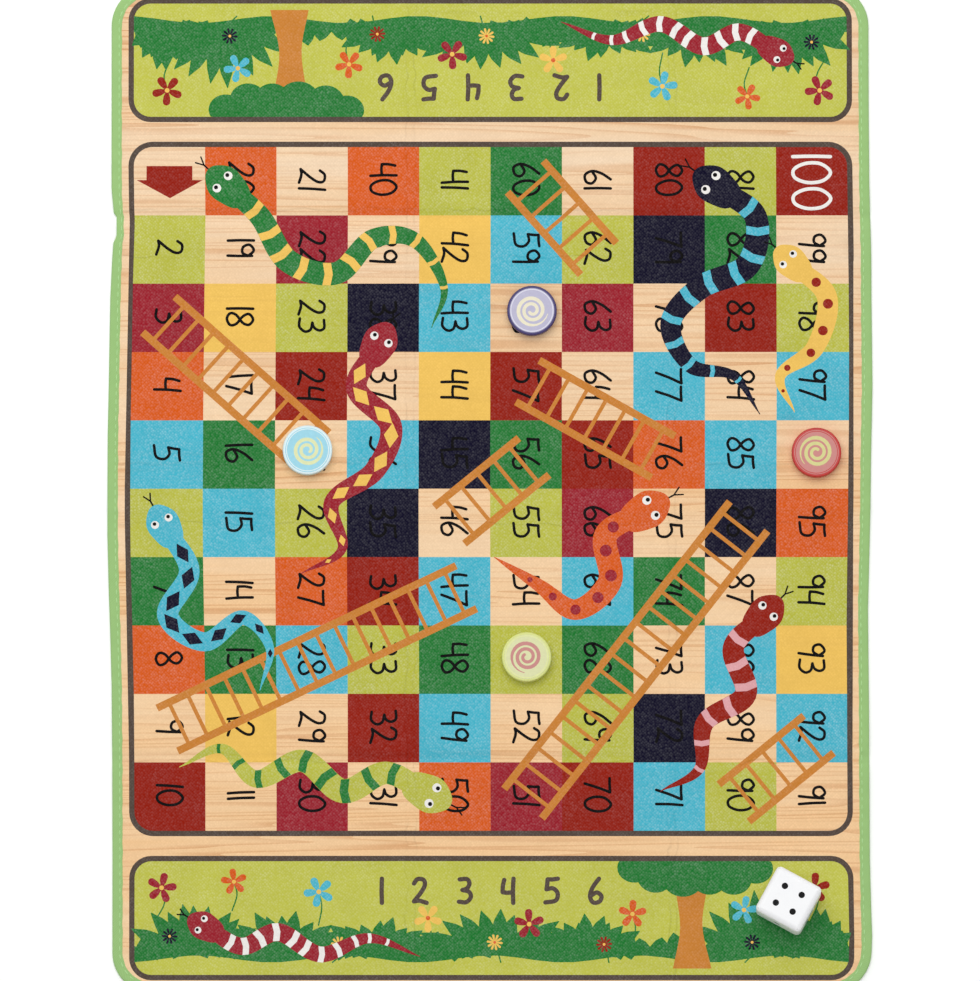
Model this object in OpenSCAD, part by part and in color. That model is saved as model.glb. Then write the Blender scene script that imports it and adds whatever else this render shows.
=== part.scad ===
// Snakes and ladders play mat: a printed cloth on a non-slip backing, bound with tape all
// round, with four wooden counters and a die lying on it. Both ends fold at a crease.
// The mat lies flat with its underside at z = 0, its centre on the Z axis and its length along Y.

/* [Mat] */
// Width of the mat over its edge binding
mat_w = 750; // [600:10:900]
// Length of the mat over its edge binding
mat_l = 1000; // [900:10:1200]
// Radius of the mat's rounded corners
corner_r = 40; // [25:1:60]
// Thickness of the printed cloth
cloth_t = 1; // [0.6:0.1:2]
// Thickness of the soft non-slip backing
backing_t = 1.6; // [1.2:0.1:3]
// Length of each end flap, from its fold crease to the end of the mat
flap_l = 231; // [190:1:260]
// Gap between neighbouring panels along a fold crease
crease_gap = 0.3; // [0.1:0.1:0.6]

/* [Edge binding] */
// Width of the binding tape on each face of the mat
binding_w = 10; // [6:0.5:16]
// Thickness of the binding tape
tape_t = 0.6; // [0.3:0.1:1]
// Clearance between the edges of the layers and the tape
edge_fit = 0.1; // [0.05:0.05:0.4]

/* [Playing field] */
// Squares along each side of the field
squares = 10; // [8:2:12]
// Distance from the mat's long edge to the squares
field_side_margin = 22; // [18:1:60]
// Distance from the mat's end to the squares
field_end_margin = 163; // [120:1:200]

/* [Counters] */
// Diameter of a counter
counter_d = 49; // [36:1:60]
// Thickness of a counter's wooden disc
counter_t = 12; // [6:0.5:16]
// Radius of the disc's rounded edges
counter_edge_r = 1.5; // [0.5:0.1:2.5]
// Diameter of the printed face label
face_d = 44; // [28:1:54]
// Thickness of the printed face label
face_t = 0.3; // [0.1:0.1:0.6]

/* [Die] */
// Side of the die
die_s = 50; // [30:1:56]
// Radius of the die's rounded edges
die_edge_r = 5.5; // [2:0.5:7]
// Diameter of a pip
pip_d = 6.4; // [3:0.2:8]
// Distance of the outer pips from the middle of a face
pip_offset = 9.4; // [7:0.1:11]
// Depth of the drilled pips
pip_depth = 0.6; // [0.3:0.1:1.5]
// Clearance round the paint in a drilled pip
pip_fit = 0.05; // [0.02:0.01:0.1]
// Turn of the die on the mat, in degrees
die_turn = -28.5; // [-45:0.5:45]

/* [Hidden] */
$fn = 64;

// Overrun of every cut past the solid that it cuts
overrun = 1;

// Height of the cloth's printed face, where the counters and the die lie
top_z = backing_t + cloth_t;
// Height of the binding's upper face, where the fold axes run
binding_h = top_z + tape_t;
// Distance of each fold crease from the middle of the mat
crease_y = mat_l / 2 - flap_l;

// Size of one printed square
square_w = (mat_w - 2 * field_side_margin) / squares;
square_l = (mat_l - 2 * field_end_margin) / squares;

// Places of the counters, in squares right of and above the middle of the field
purple_place_shares = [0.58, 2.61];
blue_place_shares = [-2.56, 0.555];
red_place_shares = [4.56, 0.52];
yellow_place_shares = [0.505, -2.49];

// Place of the die: its share of the mat's width right of the middle, and of the lower
// flap's length beyond the crease
die_place_shares = [0.392, 0.614];
// Reach of the die's rounded corners from its centre
die_corner_reach = sqrt(3) * (die_s / 2 - die_edge_r) + die_edge_r;
// Pip columns and rows for one to six, in steps of the pip offset
pip_step_shares = [
    [[0, 0]],
    [[-1, -1], [1, 1]],
    [[-1, -1], [0, 0], [1, 1]],
    [[-1, -1], [-1, 1], [1, -1], [1, 1]],
    [[-1, -1], [-1, 1], [0, 0], [1, -1], [1, 1]],
    [[-1, -1], [-1, 0], [-1, 1], [1, -1], [1, 0], [1, 1]]
];
// The die's faces: the number and the turn that brings it from the top of the die
die_faces = [
    [4, [0, 0, 0]], [3, [180, 0, 0]],
    [1, [90, 0, 0]], [6, [-90, 0, 0]],
    [2, [0, -90, 0]], [5, [0, 90, 0]]
];

cloth_colour = "#EBCB9E";
backing_colour = "#8A8780";
binding_colour = "#A0C57F";

// The mat's outline, drawn in from its edge
module outline(inset) {
    w = mat_w - 2 * inset;
    l = mat_l - 2 * inset;
    r = corner_r - inset;
    square([w - 2 * r, l], center = true);
    square([w, l - 2 * r], center = true);
    for (x = [-1, 1], y = [-1, 1])
        translate([x * (w / 2 - r), y * (l / 2 - r)])
            circle(r);
}

// A level sheet of the mat's outline between two heights
module sheet(inset, z_low, z_high)
    translate([0, 0, z_low])
        linear_extrude(z_high - z_low)
            outline(inset);

// The part of the mat between two places along its length
module between(y_low, y_high)
    intersection() {
        children();
        translate([-mat_w, y_low, -overrun])
            cube([2 * mat_w, y_high - y_low, binding_h + 2 * overrun]);
    }

module middle_part()
    between(-crease_y + crease_gap / 2, crease_y - crease_gap / 2)
        children();

module top_part()
    between(crease_y + crease_gap / 2, mat_l)
        children();

module bottom_part()
    between(-mat_l, -crease_y - crease_gap / 2)
        children();

// One side of the mat: -1 is the left and 1 the right
module side_part(side)
    intersection() {
        children();
        translate([side * mat_w / 2, 0, binding_h / 2])
            cube([mat_w, 2 * mat_l, binding_h + 2 * overrun], center = true);
    }

// The printed cloth, whose edge lies in the fold of the tape
module cloth_layer()
    color(cloth_colour)
        sheet(tape_t + edge_fit, backing_t, top_z);

// The backing, pressed thin where the tape runs under it, so that the underside is level
module backing_layer()
    color(backing_colour) {
        sheet(binding_w + edge_fit, 0, backing_t);
        sheet(tape_t + edge_fit, tape_t, backing_t);
    }

// The tape, folded round the edges of both layers
module binding_loop()
    color(binding_colour)
        difference() {
            sheet(0, 0, binding_h);
            sheet(binding_w, -overrun, binding_h + overrun);
            sheet(tape_t, tape_t, top_z);
        }

module cloth_middle() middle_part() cloth_layer();
module cloth_top() top_part() cloth_layer();
module cloth_bottom() bottom_part() cloth_layer();

module backing_middle() middle_part() backing_layer();
module backing_top() top_part() backing_layer();
module backing_bottom() bottom_part() backing_layer();

module binding_left() side_part(-1) middle_part() binding_loop();
module binding_right() side_part(1) middle_part() binding_loop();
module binding_top() top_part() binding_loop();
module binding_bottom() bottom_part() binding_loop();

module on_square(shares)
    translate([shares[0] * square_w, shares[1] * square_l, top_z])
        children();

// A wooden disc with both edges rounded
module counter_disc()
    rotate_extrude() {
        flat_r = counter_d / 2 - counter_edge_r;
        square([flat_r, counter_t]);
        translate([0, counter_edge_r])
            square([counter_d / 2, counter_t - 2 * counter_edge_r]);
        for (y = [counter_edge_r, counter_t - counter_edge_r])
            translate([flat_r, y])
                circle(counter_edge_r);
    }

// A printed label on top of the disc
module counter_face()
    translate([0, 0, counter_t])
        cylinder(d = face_d, h = face_t);

module disc_purple() color("#4A3F78") on_square(purple_place_shares) counter_disc();
module face_purple() color("#CFCBDF") on_square(purple_place_shares) counter_face();
module disc_blue() color("#E3F1F3") on_square(blue_place_shares) counter_disc();
module face_blue() color("#BFE2EE") on_square(blue_place_shares) counter_face();
module disc_red() color("#B8323A") on_square(red_place_shares) counter_disc();
module face_red() color("#E3A0A0") on_square(red_place_shares) counter_face();
module disc_yellow() color("#D9D27A") on_square(yellow_place_shares) counter_disc();
module face_yellow() color("#EFEBB4") on_square(yellow_place_shares) counter_face();

module at_die()
    translate([
        die_place_shares[0] * mat_w,
        -crease_y - die_place_shares[1] * flap_l,
        top_z + die_s / 2
    ])
        rotate([0, 0, die_turn])
            children();

// A square bar as long as the die, with its long edges rounded
module die_bar() {
    flat_s = die_s - 2 * die_edge_r;
    linear_extrude(die_s, center = true) {
        square([flat_s, die_s], center = true);
        square([die_s, flat_s], center = true);
        for (x = [-1, 1], y = [-1, 1])
            translate([x * flat_s / 2, y * flat_s / 2])
                circle(die_edge_r);
    }
}

// Round plugs at every pip, from the pips' floor to a height above it
module pip_plugs(d, h)
    for (f = die_faces, p = pip_step_shares[f[0] - 1])
        rotate(f[1])
            translate([p[0] * pip_offset, p[1] * pip_offset, die_s / 2 - pip_depth])
                cylinder(d = d, h = h);

module die_body()
    color("#F5F7FB")
        at_die()
            difference() {
                intersection() {
                    die_bar();
                    rotate([90, 0, 0]) die_bar();
                    rotate([0, 90, 0]) die_bar();
                    sphere(die_corner_reach);
                }
                pip_plugs(pip_d, pip_depth + overrun);
            }

module die_pips()
    color("#17171B")
        at_die()
            pip_plugs(pip_d - 2 * pip_fit, pip_depth);

cloth_middle();
cloth_top();
cloth_bottom();
backing_middle();
backing_top();
backing_bottom();
binding_left();
binding_right();
binding_top();
binding_bottom();
disc_purple();
face_purple();
disc_blue();
face_blue();
disc_red();
face_red();
disc_yellow();
face_yellow();
die_body();
die_pips();
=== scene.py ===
import math
import random
from functools import partial

import bpy
import numpy as np
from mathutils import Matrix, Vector
from mathutils.geometry import delaunay_2d_cdt


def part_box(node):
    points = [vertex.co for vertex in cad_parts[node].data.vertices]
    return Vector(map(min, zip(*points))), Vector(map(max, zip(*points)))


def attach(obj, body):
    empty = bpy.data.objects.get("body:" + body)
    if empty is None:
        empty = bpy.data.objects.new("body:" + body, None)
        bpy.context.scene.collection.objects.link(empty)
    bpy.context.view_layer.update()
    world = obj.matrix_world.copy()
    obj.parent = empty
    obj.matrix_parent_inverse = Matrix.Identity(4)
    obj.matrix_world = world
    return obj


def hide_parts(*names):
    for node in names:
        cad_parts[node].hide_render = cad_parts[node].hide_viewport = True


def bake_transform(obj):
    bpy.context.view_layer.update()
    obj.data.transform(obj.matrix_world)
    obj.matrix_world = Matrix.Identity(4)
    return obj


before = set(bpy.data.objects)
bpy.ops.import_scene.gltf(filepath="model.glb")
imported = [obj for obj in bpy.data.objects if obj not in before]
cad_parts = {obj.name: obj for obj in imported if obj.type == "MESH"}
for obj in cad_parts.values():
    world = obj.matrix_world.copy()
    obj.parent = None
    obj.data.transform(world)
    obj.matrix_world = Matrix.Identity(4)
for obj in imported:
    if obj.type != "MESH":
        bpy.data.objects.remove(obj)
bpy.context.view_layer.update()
scene = bpy.context.scene
mm = 0.001

# the mat's sizes, read off its solids
halfWidth, halfLength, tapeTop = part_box("binding_top")[1]
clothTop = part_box("cloth_middle")[1].z
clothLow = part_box("cloth_middle")[0].z
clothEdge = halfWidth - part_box("cloth_middle")[1].x  # how far in from the tape's edge the layers end
crease = (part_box("cloth_middle")[1].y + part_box("cloth_top")[0].y) / 2
print("frame loaded, half the mat's width and length and the fold at", halfWidth, halfLength, crease)


# small tools

def linear(hexColour):
    parts = [int(hexColour[i:i + 2], 16) / 255 for i in (1, 3, 5)]
    return [c / 12.92 if c <= 0.04045 else ((c + 0.055) / 1.055) ** 2.4 for c in parts] + [1.0]


def toned(colour, factor):
    return [min(1, c * factor) for c in colour[:3]] + [1]


def addNode(tree, kind, inputs={}, **settings):
    # an input takes a value, a socket, or a node whose first output in use is meant
    own = kind.startswith(("Geometry", "Function", "NodeGroup"))
    node = tree.nodes.new(kind if own else "ShaderNode" + kind)
    for name, value in settings.items():
        setattr(node, name, value)
    for socket, value in inputs.items():
        if isinstance(value, bpy.types.Node):
            value = next(output for output in value.outputs if output.enabled)
        if isinstance(value, bpy.types.NodeSocket):
            tree.links.new(value, node.inputs[socket])
        else:
            node.inputs[socket].default_value = value
    return node


def newMaterial(name):
    material = bpy.data.materials.new(name)
    material.use_nodes = True
    material.node_tree.nodes.clear()
    return material, material.node_tree


def finishMaterial(tree, inputs):
    shader = addNode(tree, "BsdfPrincipled", inputs)
    addNode(tree, "OutputMaterial", {"Surface": shader})


def mottledFinish(name, tones, grain, relief, surface, noiseRoughness=0.5, reliefGrain=None):
    # two tones and a slight relief from noises
    # a grain is three sizes in mm and a detail, the relief a strength and a depth in mm
    material, tree = newMaterial(name)
    place = addNode(tree, "TexCoord").outputs["Object"]
    noises = []
    for sizes, detail in filter(None, (grain, reliefGrain)):
        scaled = addNode(tree, "Mapping", {"Vector": place, "Scale": [1 / (size * mm) for size in sizes]})
        settings = {"Vector": scaled, "Scale": 1, "Detail": detail, "Roughness": noiseRoughness}
        noises.append(addNode(tree, "TexNoise", settings))
    tone = addNode(tree, "Mix", {0: noises[0], 6: tones[0], 7: tones[1]}, data_type="RGBA")
    bump = addNode(tree, "Bump", {"Height": noises[-1], "Strength": relief[0], "Distance": relief[1] * mm})
    finishMaterial(tree, {"Base Color": tone, "Normal": bump, **surface})
    return material


def smoothStep(low, high, value):
    t = np.clip((value - low) / (high - low), 0, 1)
    return t * t * (3 - 2 * t)


def newPiece(name, points, faces, materials, faceMaterials=None, sharpAngle=50):
    mesh = bpy.data.meshes.new(name)
    mesh.from_pydata([tuple(p) for p in points], [], faces)
    for material in materials:
        mesh.materials.append(material)
    if faceMaterials is not None:
        mesh.polygons.foreach_set("material_index", np.array(faceMaterials, np.int32))
    mesh.shade_smooth()
    mesh.set_sharp_from_angle(angle=math.radians(sharpAngle))
    mesh.update()
    piece = bpy.data.objects.new(name, mesh)
    scene.collection.objects.link(piece)
    return piece


def keepFlatPlace(piece, places):
    # where each point is on the flat cloth, so that weave and grain stay put when the cloth bends
    attribute = piece.data.attributes.new("flatPlace", "FLOAT_VECTOR", "POINT")
    attribute.data.foreach_set("vector", np.array(places, np.float32).ravel())


# camera, a long lens nearly straight above

camera = {"aim": (-0.0005, -0.0015, 0.0), "distance": 40.0, "elevation": 84.5, "viewHeight": 0.9692}
cameraObject = bpy.data.objects.new("camera", bpy.data.cameras.new("camera"))
scene.collection.objects.link(cameraObject)
elevation = math.radians(camera["elevation"])
outwards = Vector((0, -math.cos(elevation), math.sin(elevation)))
cameraObject.location = Vector(camera["aim"]) + camera["distance"] * outwards
cameraObject.rotation_euler = (math.pi / 2 - elevation, 0, 0)
cameraObject.data.sensor_width = 36
cameraObject.data.lens = 36 * camera["distance"] / camera["viewHeight"]
cameraObject.data.clip_end = 100
scene.camera = cameraObject
scene.view_settings.view_transform = "Standard"
print("camera set")


# how the cloth lies: packing creases, slow waves and an uneven edge

lay = {
    "foldShoulder": 1.3 * mm, "foldReach": 20 * mm,  # the cloth rises on both sides of a pressed fold
    "ridges": [("y", -0.020, 1.3 * mm), ("x", -0.086, 1.1 * mm), ("x", 0.176, 1.3 * mm)],
    "ridgeReach": 5 * mm, "ridgeRound": 0.05, "ridgeCrest": 0.22,
    # turns for each metre in x and y, and a start
    "wave": 0.5 * mm, "waveTurns": ((9.1, 5.3, 0.6), (-3.1, 7.7, 0)),
    "foldCalm": 9 * mm,  # the waves die out beside a fold
    # how far the long edges stray to the right, by place along the mat, in mm
    "leftEdge": ([-368, -269, -195, -145, -95, -46, 4, 54, 103, 153, 198, 225, 250, 275, 300], [
        1.9, 1.6, 0.9, -0.5, -2.2, -3.4, -3.4, -3.2, -2.2, -1.4, -0.6, 0.0, 1.0, 1.0, 0.4]),
    "rightEdge": (
        [-490, -443, -418, -368, -269, -220, -120, -70, -20, 29, 103, 188, 233, 265, 303, 382, 462],
        [0.0, 1.6, 0.7, -0.6, -1.2, -1.3, -2.2, -0.9, 0.3, 0.9, 2.4, 1.5, 1.3, 0.4, -0.6, -1.1, -1.3]),
    # the tape pulled in beside the left end of a fold
    "pullEdge": ([188, 244, 251, 270, 274, 297], [0, 1.4, 4.4, 4.4, 1.6, 0]),
    "leftReach": 150 * mm, "rightReach": 55 * mm, "pullReach": 9 * mm,
    "calm": 26 * mm,  # flat ground round a counter or the die
}
standing = []
for nodeName in ("disc_purple", "disc_blue", "disc_red", "disc_yellow", "die_body"):
    low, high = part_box(nodeName)
    standing.append(((low.x + high.x) / 2, (low.y + high.y) / 2, (high.x - low.x) / 2))


def layOut(x, y):
    # shift in x and lift of points of the flat mat
    lift = np.zeros_like(x)
    for fold in (-crease, crease):
        away = np.abs(y - fold) / lay["foldReach"]
        lift += lay["foldShoulder"] * away * np.exp(1 - away)
    for axis, at, height in lay["ridges"]:
        away = np.abs((x if axis == "x" else y) - at) / lay["ridgeReach"]
        lift += height * np.exp(-np.sqrt(away ** 2 + lay["ridgeRound"]) + lay["ridgeCrest"])
    one, other = (np.sin(a * x + b * y + c) for a, b, c in lay["waveTurns"])
    lift += lay["wave"] * (1 + one * other)
    lift *= smoothStep(0, lay["foldCalm"], np.minimum(np.abs(y - crease), np.abs(y + crease)))
    for cx, cy, radius in standing:
        lift *= smoothStep(radius, radius + lay["calm"], np.hypot(x - cx, y - cy))
    shift = np.zeros_like(x)
    fromLeft, fromRight = x + halfWidth, halfWidth - x
    for name, inwards in (("left", fromLeft), ("right", fromRight), ("pull", fromLeft)):
        shift += np.interp(y / mm, *lay[name + "Edge"]) * mm * np.exp(-inwards / lay[name + "Reach"])
    return shift, lift


def layDown(points):
    points = np.array(points, float)
    shift, lift = layOut(points[:, 0], points[:, 1])
    return points + np.column_stack([shift, np.zeros_like(shift), lift])


# materials of the printed cloth

clothLook = {
    "nearTint": (1.04, 0.966, 0.844, 1),  # the wood ground turns warmer and a little darker towards the near end
    "threadPitch": 2.3,  # mm, about four times the real pitch, so that it shows in the render
    "patchSize": 30.0,  # mm, areas where the weave shows more or less
    "weaveDepth": 0.10,  # mm
    "mottleSize": 42.0,  # mm, uneven inking
    # mm and number, the printed wood
    "grainLength": 2400.0, "grainWidth": 52.0, "rings": 26, "boardWidth": 50.0,
    # mm, thin packing creases, dented in the bump and darkened with painted shade: their places across
    # (y) and along (x) the mat, how far they waver, half their width
    "packLines": [
        ("y", 277), ("y", 230), ("y", 24), ("y", -35), ("y", -271), ("x", -83), ("x", -75), ("x", 176),
        ("x", 183)],
    "packWaver": 7.0, "packWaverSize": 26.0, "packHalfWidth": 1.5, "packDepth": 0.22,
}


def flatMillimetres(tree):
    place = addNode(tree, "Attribute", attribute_name="flatPlace").outputs["Vector"]
    return addNode(tree, "VectorMath", {0: place, 1: (1000, 1000, 1000)}, operation="MULTIPLY")


# the cloth's own surface, shared by all inks
wovenCloth = bpy.data.node_groups.new("wovenCloth", "ShaderNodeTree")
clothNode = partial(addNode, wovenCloth)
place = flatMillimetres(wovenCloth)
mottle = clothNode("TexNoise", {
    "Vector": place, "Scale": 1 / clothLook["mottleSize"], "Detail": 3, "Roughness": 0.6})
# the crossings of a twill's threads, each inked a little differently
twill = clothNode("Mapping", {"Vector": place, "Rotation": (0, 0, math.radians(45))})
crossings = clothNode("TexVoronoi", {
    "Vector": twill, "Scale": 1 / clothLook["threadPitch"], "Randomness": 0.55})
weave = clothNode("MapRange", {
    "Value": crossings.outputs["Distance"], "From Max": 0.75, "To Min": 1, "To Max": 0})
inked = clothNode("SeparateColor", {0: crossings.outputs["Color"]})
patches = clothNode("TexNoise", {"Vector": place, "Scale": 1 / clothLook["patchSize"], "Detail": 1})
shown = clothNode("MapRange", {
    "Value": patches, "From Min": 0.3, "From Max": 0.7, "To Min": 0.54, "To Max": 0.83})
spread = clothNode("MapRange", {"Value": inked, "To Min": 0.4})
bared = clothNode("Math", {0: spread, 1: shown}, operation="MULTIPLY")
tips = clothNode("Math", {0: weave, 1: bared}, operation="MULTIPLY")
# printed wood: growth rings as contour lines of a noise drawn out along the boards, each darkening slowly
# and ending sharply
grainScale = (1 / clothLook["grainLength"], 1 / clothLook["grainWidth"], 1)
drawnOut = clothNode("Mapping", {"Vector": place, "Location": (3.7, 1.4, 0), "Scale": grainScale})
growth = clothNode("TexNoise", {"Vector": drawnOut, "Scale": 1, "Detail": 3, "Roughness": 0.5})
counted = clothNode("Math", {0: growth, 1: clothLook["rings"]}, operation="MULTIPLY")
ring = clothNode("Math", {0: counted}, operation="FRACT")
late = clothNode("MapRange", {"Value": ring, "From Min": 0.55, "From Max": 0.97})
boardScale = (3 / clothLook["grainLength"], 1 / clothLook["boardWidth"], 1)
broad = clothNode("Mapping", {"Vector": place, "Location": (5.1, 2.3, 0), "Scale": boardScale})
boards = clothNode("TexNoise", {"Vector": broad, "Scale": 1, "Detail": 4, "Roughness": 0.65})
strength = clothNode("MapRange", {
    "Value": boards, "From Min": 0.36, "From Max": 0.68, "To Min": 0.1, "To Max": 1})
grain = clothNode("Math", {0: late, 1: strength}, operation="MULTIPLY")
# thin lines along the packing creases, which waver and come and go; they dent the bump and
# darken the ink with painted shade
waverNoise = clothNode("TexNoise", {"Vector": place, "Scale": 1 / clothLook["packWaverSize"], "Detail": 2})
waver = clothNode("MapRange", {
    "Value": waverNoise, "To Min": -clothLook["packWaver"], "To Max": clothLook["packWaver"]})
alongMat = clothNode("SeparateXYZ", {0: place})
nearest = 1000
for axis, at in clothLook["packLines"]:
    wavering = clothNode("Math", {0: alongMat.outputs["xy".index(axis)], 1: waver}, operation="ADD")
    past = clothNode("Math", {0: wavering, 1: at}, operation="SUBTRACT")
    away = clothNode("Math", {0: past}, operation="ABSOLUTE")
    nearest = clothNode("Math", {0: away, 1: nearest}, operation="MINIMUM")
creased = clothNode(
    "MapRange", {"Value": nearest, "From Max": clothLook["packHalfWidth"], "To Min": 1, "To Max": 0},
    interpolation_type="SMOOTHSTEP")
patchy = clothNode("MapRange", {"Value": mottle, "From Min": 0.4, "From Max": 0.62, "To Min": 0.1})
wrinkles = clothNode("Math", {0: creased, 1: patchy}, operation="MULTIPLY")
nearness = clothNode("MapRange", {"Value": alongMat.outputs["Y"], "From Min": 300, "From Max": -200})
results = {
    "Tips": tips, "Weave": weave, "Mottle": mottle, "Grain": grain, "Boards": strength, "Wrinkles": wrinkles,
    "Nearness": nearness,
}
for label in results:
    wovenCloth.interface.new_socket(label, in_out="OUTPUT", socket_type="NodeSocketFloat")
clothNode("NodeGroupOutput", results)


def printedInk(name, colour, tips, grain=0.06, grainColour="#A87C4E", boards=None):
    # pigment ink on a brushed polyester twill: matt, a little uneven, with pale thread tips; painted
    # shade darkens the gaps of the weave and the packing creases
    material, tree = newMaterial(name)
    cloth = addNode(tree, "Group", node_tree=wovenCloth).outputs
    ink = linear(colour)
    ground = addNode(
        tree, "Mix", {0: cloth["Mottle"], 6: toned(ink, 0.90), 7: toned(ink, 1.09)}, data_type="RGBA")
    if boards:
        ground = addNode(tree, "Mix", {0: cloth["Boards"], 6: ground, 7: linear(boards)}, data_type="RGBA")
        near = {0: cloth["Nearness"], 6: ground, 7: clothLook["nearTint"]}
        ground = addNode(tree, "Mix", near, data_type="RGBA", blend_type="MULTIPLY")
    lines = addNode(tree, "Math", {0: cloth["Grain"], 1: grain}, operation="MULTIPLY")
    grained = addNode(tree, "Mix", {0: lines, 6: ground, 7: linear(grainColour)}, data_type="RGBA")
    bare = addNode(tree, "Math", {0: cloth["Tips"], 1: tips}, operation="MULTIPLY")
    paleThread = [min(1, 0.45 * c + 0.42) for c in ink[:3]] + [1]
    speckled = addNode(tree, "Mix", {0: bare, 6: grained, 7: paleThread}, data_type="RGBA")
    # painted shade of the weave: raised thread crossings lighter, up to 1.15, the gaps between them at 0.95
    threads = addNode(tree, "MapRange", {"Value": cloth["Tips"], "To Min": 0.95, "To Max": 1.15})
    # painted shade in the packing creases: the ink darkens to 0.87 along them
    pressed = addNode(tree, "MapRange", {"Value": cloth["Wrinkles"], "To Min": 1, "To Max": 0.87})
    shade = addNode(tree, "Math", {0: threads, 1: pressed}, operation="MULTIPLY")
    # the ink's colour with the painted shade of the weave and of the creases multiplied in
    inkWithPaintedShade = addNode(tree, "VectorMath", {0: speckled, "Scale": shade}, operation="SCALE")
    weaveDepth, packDepth = clothLook["weaveDepth"] * mm, clothLook["packDepth"] * mm
    bump = addNode(tree, "Bump", {"Height": cloth["Weave"], "Strength": 0.5, "Distance": weaveDepth})
    dents = {"Height": cloth["Wrinkles"], "Strength": 0.8, "Distance": -packDepth, "Normal": bump}
    finishMaterial(tree, {
        "Base Color": inkWithPaintedShade, "Normal": addNode(tree, "Bump", dents), "Roughness": 0.88,
        "Specular IOR Level": 0.05, "Sheen Weight": 0.01, "Sheen Roughness": 0.6,
    })
    return material


inks = {
    "wood": printedInk(
        "clothWoodPrint", "#F9DCBC", 0.06, grain=0.72, grainColour="#CF8E5A", boards="#F3CB9D"),
    "lime": printedInk("clothLimeInk", "#BEC040", 0.74),
    "sky": printedInk("clothSkyInk", "#42B9D0", 0.74),
    "navy": printedInk("clothNavyInk", "#0B0725", 0.19, grain=0),
    "red": printedInk("clothBrickInk", "#981D08", 0.21, grain=0),
    "crimson": printedInk("clothCrimsonInk", "#9D1A29", 0.33, grain=0),
    "amber": printedInk("clothAmberInk", "#F5C762", 0.06, grain=0.08),
    "orange": printedInk("clothOrangeInk", "#DE5B08", 0.5),
    "green": printedInk("clothGreenInk", "#187A2E", 0.46, grain=0),
    "meadow": printedInk("clothMeadowInk", "#C6C84C", 0.54),
    "line": printedInk("clothLineInk", "#55473E", 0.22, grain=0),
    "ladder": printedInk("clothLadderInk", "#D08433", 0.25),
    "black": printedInk("clothBlackInk", "#0E0C0D", 0.05, grain=0),
    "white": printedInk("clothWhiteInk", "#F4F1EC", 0.03, grain=0),
    "rose": printedInk("clothRoseInk", "#E4A8AC", 0.2, grain=0),
}
inkNames = list(inks)
print("inks mixed:", len(inks))


# the print, drawn flat in millimetres

def curveThrough(points, perSpan):
    p = np.array(points, float)
    before, after = (p[-2], p[1]) if np.allclose(p[0], p[-1]) else (2 * p[0] - p[1], 2 * p[-1] - p[-2])
    p = np.vstack([before, p, after])
    t = np.linspace(0, 1, perSpan, endpoint=False)[:, None]
    spans = [
        0.5 * (2 * b + (c - a) * t + (2 * a - 5 * b + 4 * c - d) * t ** 2 + (3 * b - a - 3 * c + d) * t ** 3)
        for a, b, c, d in zip(p, p[1:], p[2:], p[3:])]
    return np.vstack(spans + [p[-2:-1]])


def headings(path):
    along = np.gradient(path, axis=0)
    along /= np.linalg.norm(along, axis=1)[:, None]
    return along, np.column_stack([-along[:, 1], along[:, 0]])


def lengthsAlong(path):
    return np.concatenate([[0], np.cumsum(np.linalg.norm(np.diff(path, axis=0), axis=1))])


def ribbon(path, width, roundEnds=True):
    path = np.array(path, float)
    half = np.broadcast_to(np.array(width, float) / 2, len(path))
    along, across = headings(path)
    turns = np.radians([60, 30, 0, -30, -60]) if roundEnds else []
    endCap = [path[-1] + half[-1] * (along[-1] * math.cos(a) + across[-1] * math.sin(a)) for a in turns]
    startCap = [path[0] - half[0] * (along[0] * math.cos(a) + across[0] * math.sin(a)) for a in turns]
    aside = across * half[:, None]
    endCap, startCap = (np.array(cap).reshape(-1, 2) for cap in (endCap, startCap))
    return np.vstack([path + aside, endCap, (path - aside)[::-1], startCap])


def roundedBox(cx, cy, halfX, halfY, radii, steps=9):
    if not hasattr(radii, "__len__"):
        radii = [radii] * 4
    points = []
    for (sx, sy), start, radius in zip(((1, 1), (-1, 1), (-1, -1), (1, -1)), (0, 90, 180, 270), radii):
        corner = (cx + sx * (halfX - radius), cy + sy * (halfY - radius))
        turns = np.radians(np.linspace(start, start + 90, steps if radius else 1))
        points += [(corner[0] + radius * math.cos(a), corner[1] + radius * math.sin(a)) for a in turns]
    return np.array(points)


def oval(cx, cy, rx, ry, steps):
    a = np.linspace(0, 2 * math.pi, steps, endpoint=False)
    return np.column_stack([cx + rx * np.cos(a), cy + ry * np.sin(a)])


shapes = []  # ink and outline, in the order of printing


def printShape(ink, outline):
    shapes.append((ink, np.array(outline, float)))


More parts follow.
